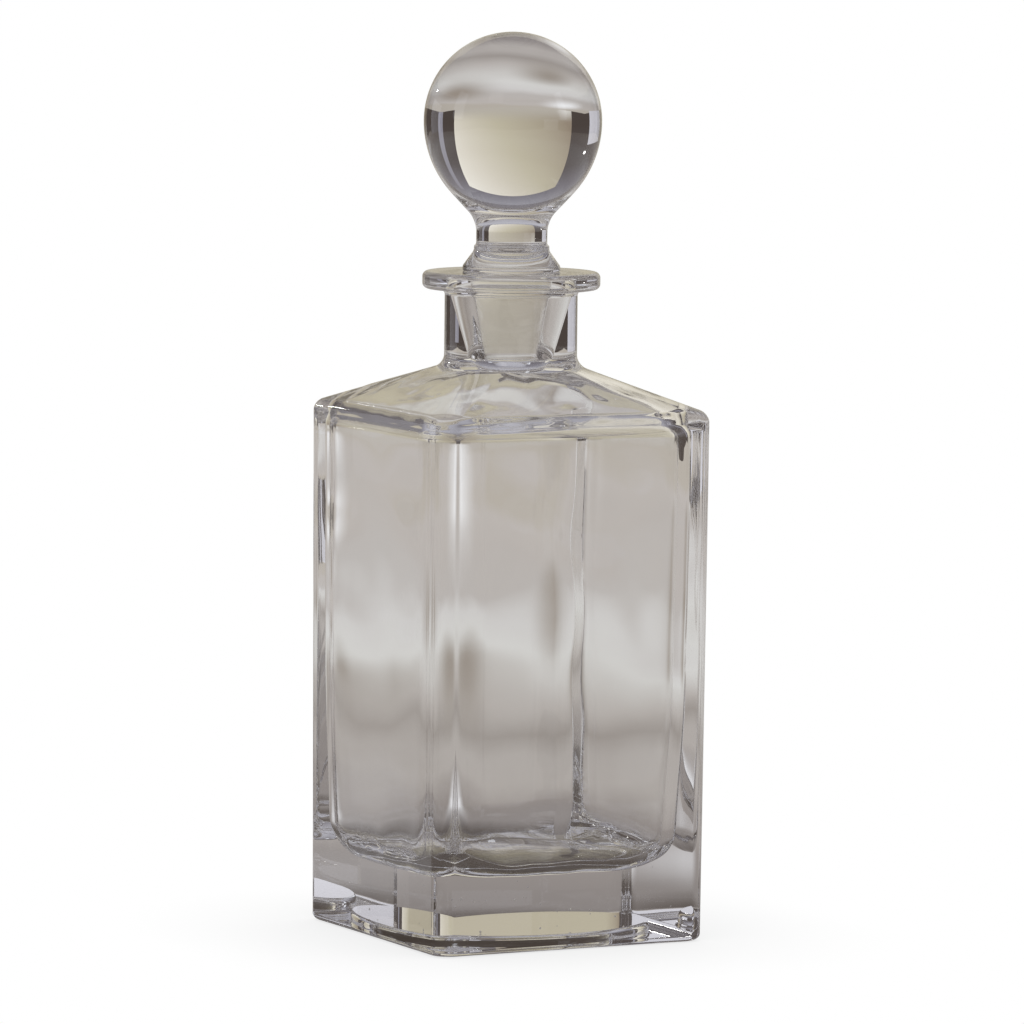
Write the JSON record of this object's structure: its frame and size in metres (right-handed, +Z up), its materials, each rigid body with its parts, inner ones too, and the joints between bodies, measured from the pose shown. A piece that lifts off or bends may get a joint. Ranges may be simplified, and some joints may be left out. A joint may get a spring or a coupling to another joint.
{
  "type": "decanter",
  "caption": "Square clear-glass decanter with a thick solid foot, low four-sided shoulder, round neck, flat lip and a loose ball stopper that lifts straight out.",
  "frame": {"origin": "middle of the foot's flat underside, on the surface the decanter stands on", "axes": "+Z up through the neck and the stopper; the flat walls face X and Y"},
  "size_m": [0.0862, 0.0862, 0.2566],
  "materials": {
    "clear_glass": "plain clear glass, fire polished and uncut, slightly wavy inside, a few seed bubbles"
  },
  "bodies": {
    "bottle": {"decanter_bottle": "clear_glass"},
    "stopper": {"stopper": "clear_glass"}
  },
  "joints": [
    {"name": "stopper_lift", "type": "slide", "parent": "bottle", "child": "stopper", "axis": [0, 0, 1], "range_m": [0, 0.06]}
  ]
}
